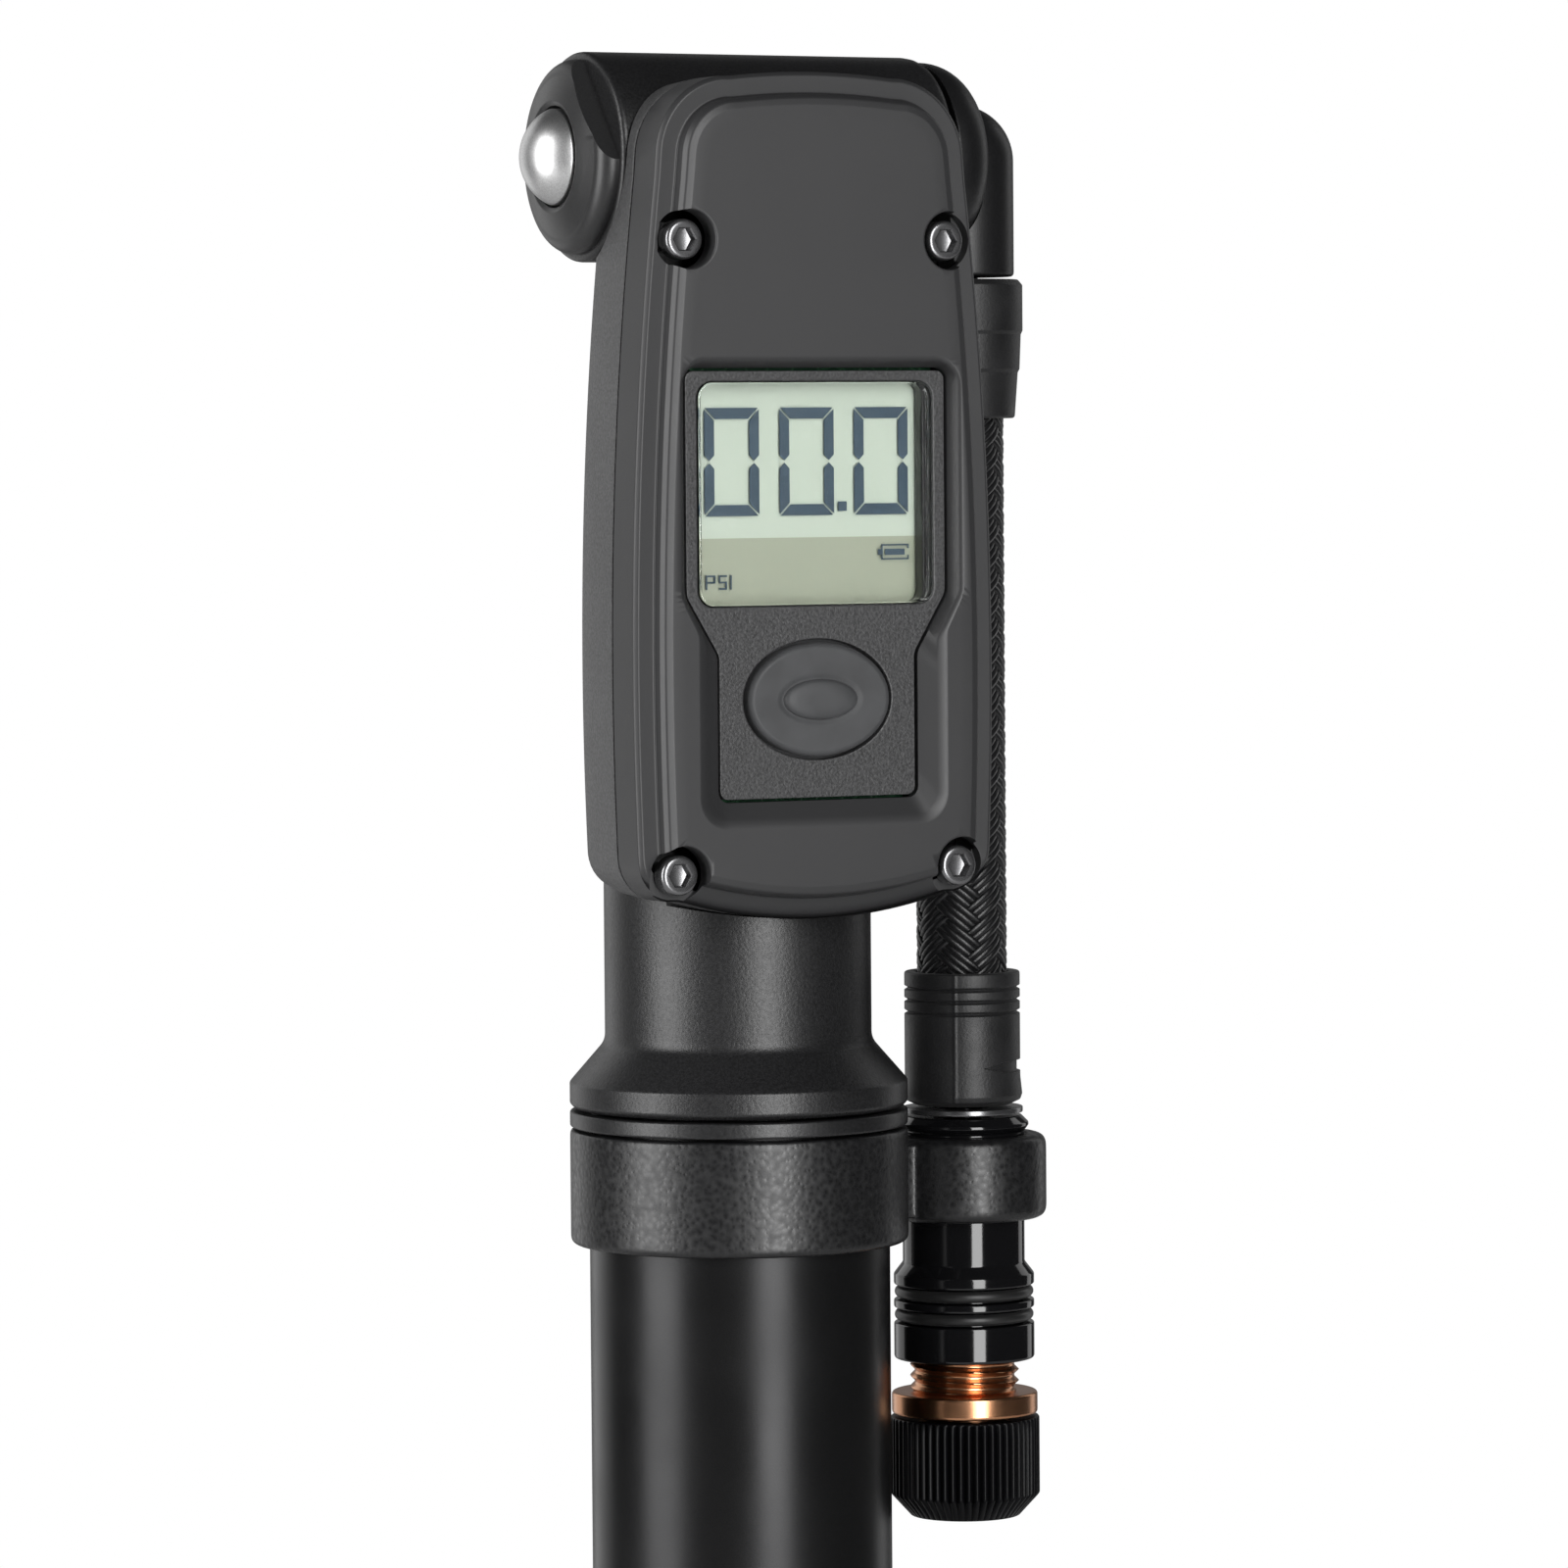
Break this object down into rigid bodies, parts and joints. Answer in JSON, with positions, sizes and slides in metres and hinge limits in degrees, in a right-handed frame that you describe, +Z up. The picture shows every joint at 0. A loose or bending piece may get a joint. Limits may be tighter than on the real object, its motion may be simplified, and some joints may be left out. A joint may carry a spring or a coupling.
{
  "type": "shock suspension pump",
  "caption": "Handheld high-pressure pump: barrel and sliding handle, head with a digital gauge and bleed button, and a swivel hose with a threaded valve chuck, parked in a clip.",
  "frame": {"origin": "centre of the handle's flat base, on the barrel's axis", "axes": "+Z up the barrel from the handle to the head, -Y towards the face of the gauge, +X towards the hose"},
  "size_m": [0.0603, 0.0403, 0.2958],
  "materials": {
    "textured_black": "satin black with a fine speckled texture",
    "anodised_black": "smooth satin black anodised aluminium",
    "gloss_black": "glossy black anodised aluminium",
    "shell_grey": "smooth matte dark grey moulding",
    "rubber_black": "matte black rubber",
    "rubber_grey": "matte mid grey silicone rubber",
    "braid_black": "tight black braided nylon",
    "steel": "polished bright steel",
    "copper": "copper coloured anodising",
    "brass": "turned brass",
    "clear_window": "clear polished window",
    "display": "pale green reflective display",
    "board_green": "green circuit board",
    "screw_black": "black oxide steel"
  },
  "bodies": {
    "pump_body": {"head_body": "textured_black", "seam_ring": "textured_black", "hose_clip_collar": "textured_black", "barrel_tube": "anodised_black", "barrel_seal": "rubber_black", "pump_cylinder": "steel", "rod_gland": "textured_black", "rod_wiper": "rubber_black", "valve_seat": "brass", "check_ball": "steel", "check_spring": "steel", "bleed_bezel": "anodised_black", "bleed_spring": "steel", "bleed_seal": "rubber_black", "gauge_front_shell": "shell_grey", "gauge_rear_shell": "textured_black", "display_plate": "shell_grey", "display_window": "clear_window", "window_gasket": "rubber_black", "display_panel": "display", "mode_switch": "textured_black", "circuit_board": "board_green", "coin_cell": "steel", "battery_clip": "brass", "pressure_sensor": "steel", "sensor_seal": "rubber_black", "gauge_screw_1": "screw_black", "gauge_screw_2": "screw_black", "gauge_screw_3": "screw_black", "gauge_screw_4": "screw_black", "mount_screw_1": "screw_black", "mount_screw_2": "screw_black"},
    "plunger": {"piston": "brass", "piston_seal": "rubber_black", "piston_rod": "steel", "handle_bumper": "rubber_black", "handle_core": "textured_black", "handle_grip": "rubber_black", "handle_end_cap": "textured_black", "handle_screw": "steel"},
    "bleed_valve": {"bleed_button": "steel", "bleed_pin": "brass"},
    "mode_key": {"mode_button": "rubber_grey"},
    "hose": {"swivel_knuckle": "anodised_black", "swivel_seal": "rubber_black", "hose_elbow": "textured_black", "upper_boot": "rubber_black", "braided_hose": "braid_black", "lower_boot": "rubber_black", "hose_ferrule": "steel", "connector_body": "gloss_black", "connector_seal_upper": "rubber_black", "connector_seal_lower": "rubber_black", "depressor_pin": "brass"},
    "chuck_seal": {"valve_gasket": "rubber_black"},
    "chuck": {"threaded_sleeve": "copper", "valve_cap": "gloss_black"}
  },
  "joints": [
    {"name": "pump_stroke", "type": "slide", "parent": "pump_body", "child": "plunger", "axis": [0, 0, -1], "range_m": [0, 0.085]},
    {"name": "bleed_press", "type": "slide", "parent": "pump_body", "child": "bleed_valve", "axis": [1, 0, 0], "range_m": [0, 0.002], "stiffness_N_per_m": 1500, "springref_m": -0.001, "deforming": ["bleed_spring"]},
    {"name": "mode_press", "type": "slide", "parent": "pump_body", "child": "mode_key", "axis": [0, 1, 0], "range_m": [0, 0.0008], "stiffness_N_per_m": 2500, "springref_m": -0.0004},
    {"name": "hose_swivel", "type": "hinge", "parent": "pump_body", "child": "hose", "pos_m": [0.0271, 0, 0.2848], "axis": [1, 0, 0], "range_deg": [0, 225]},
    {"name": "chuck_advance", "type": "slide", "parent": "hose", "child": "chuck_seal", "axis": [0, 0, 1], "range_m": [0, 0.002]},
    {"name": "chuck_turn", "type": "hinge", "parent": "chuck_seal", "child": "chuck", "pos_m": [0.0271, 0, 0.1496], "axis": [0, 0, 1], "range_deg": [0, 600]}
  ],
  "couplings": [
    {"joint": "chuck_advance", "follows": "chuck_turn", "m_per_rad": 0.00019099}
  ]
}
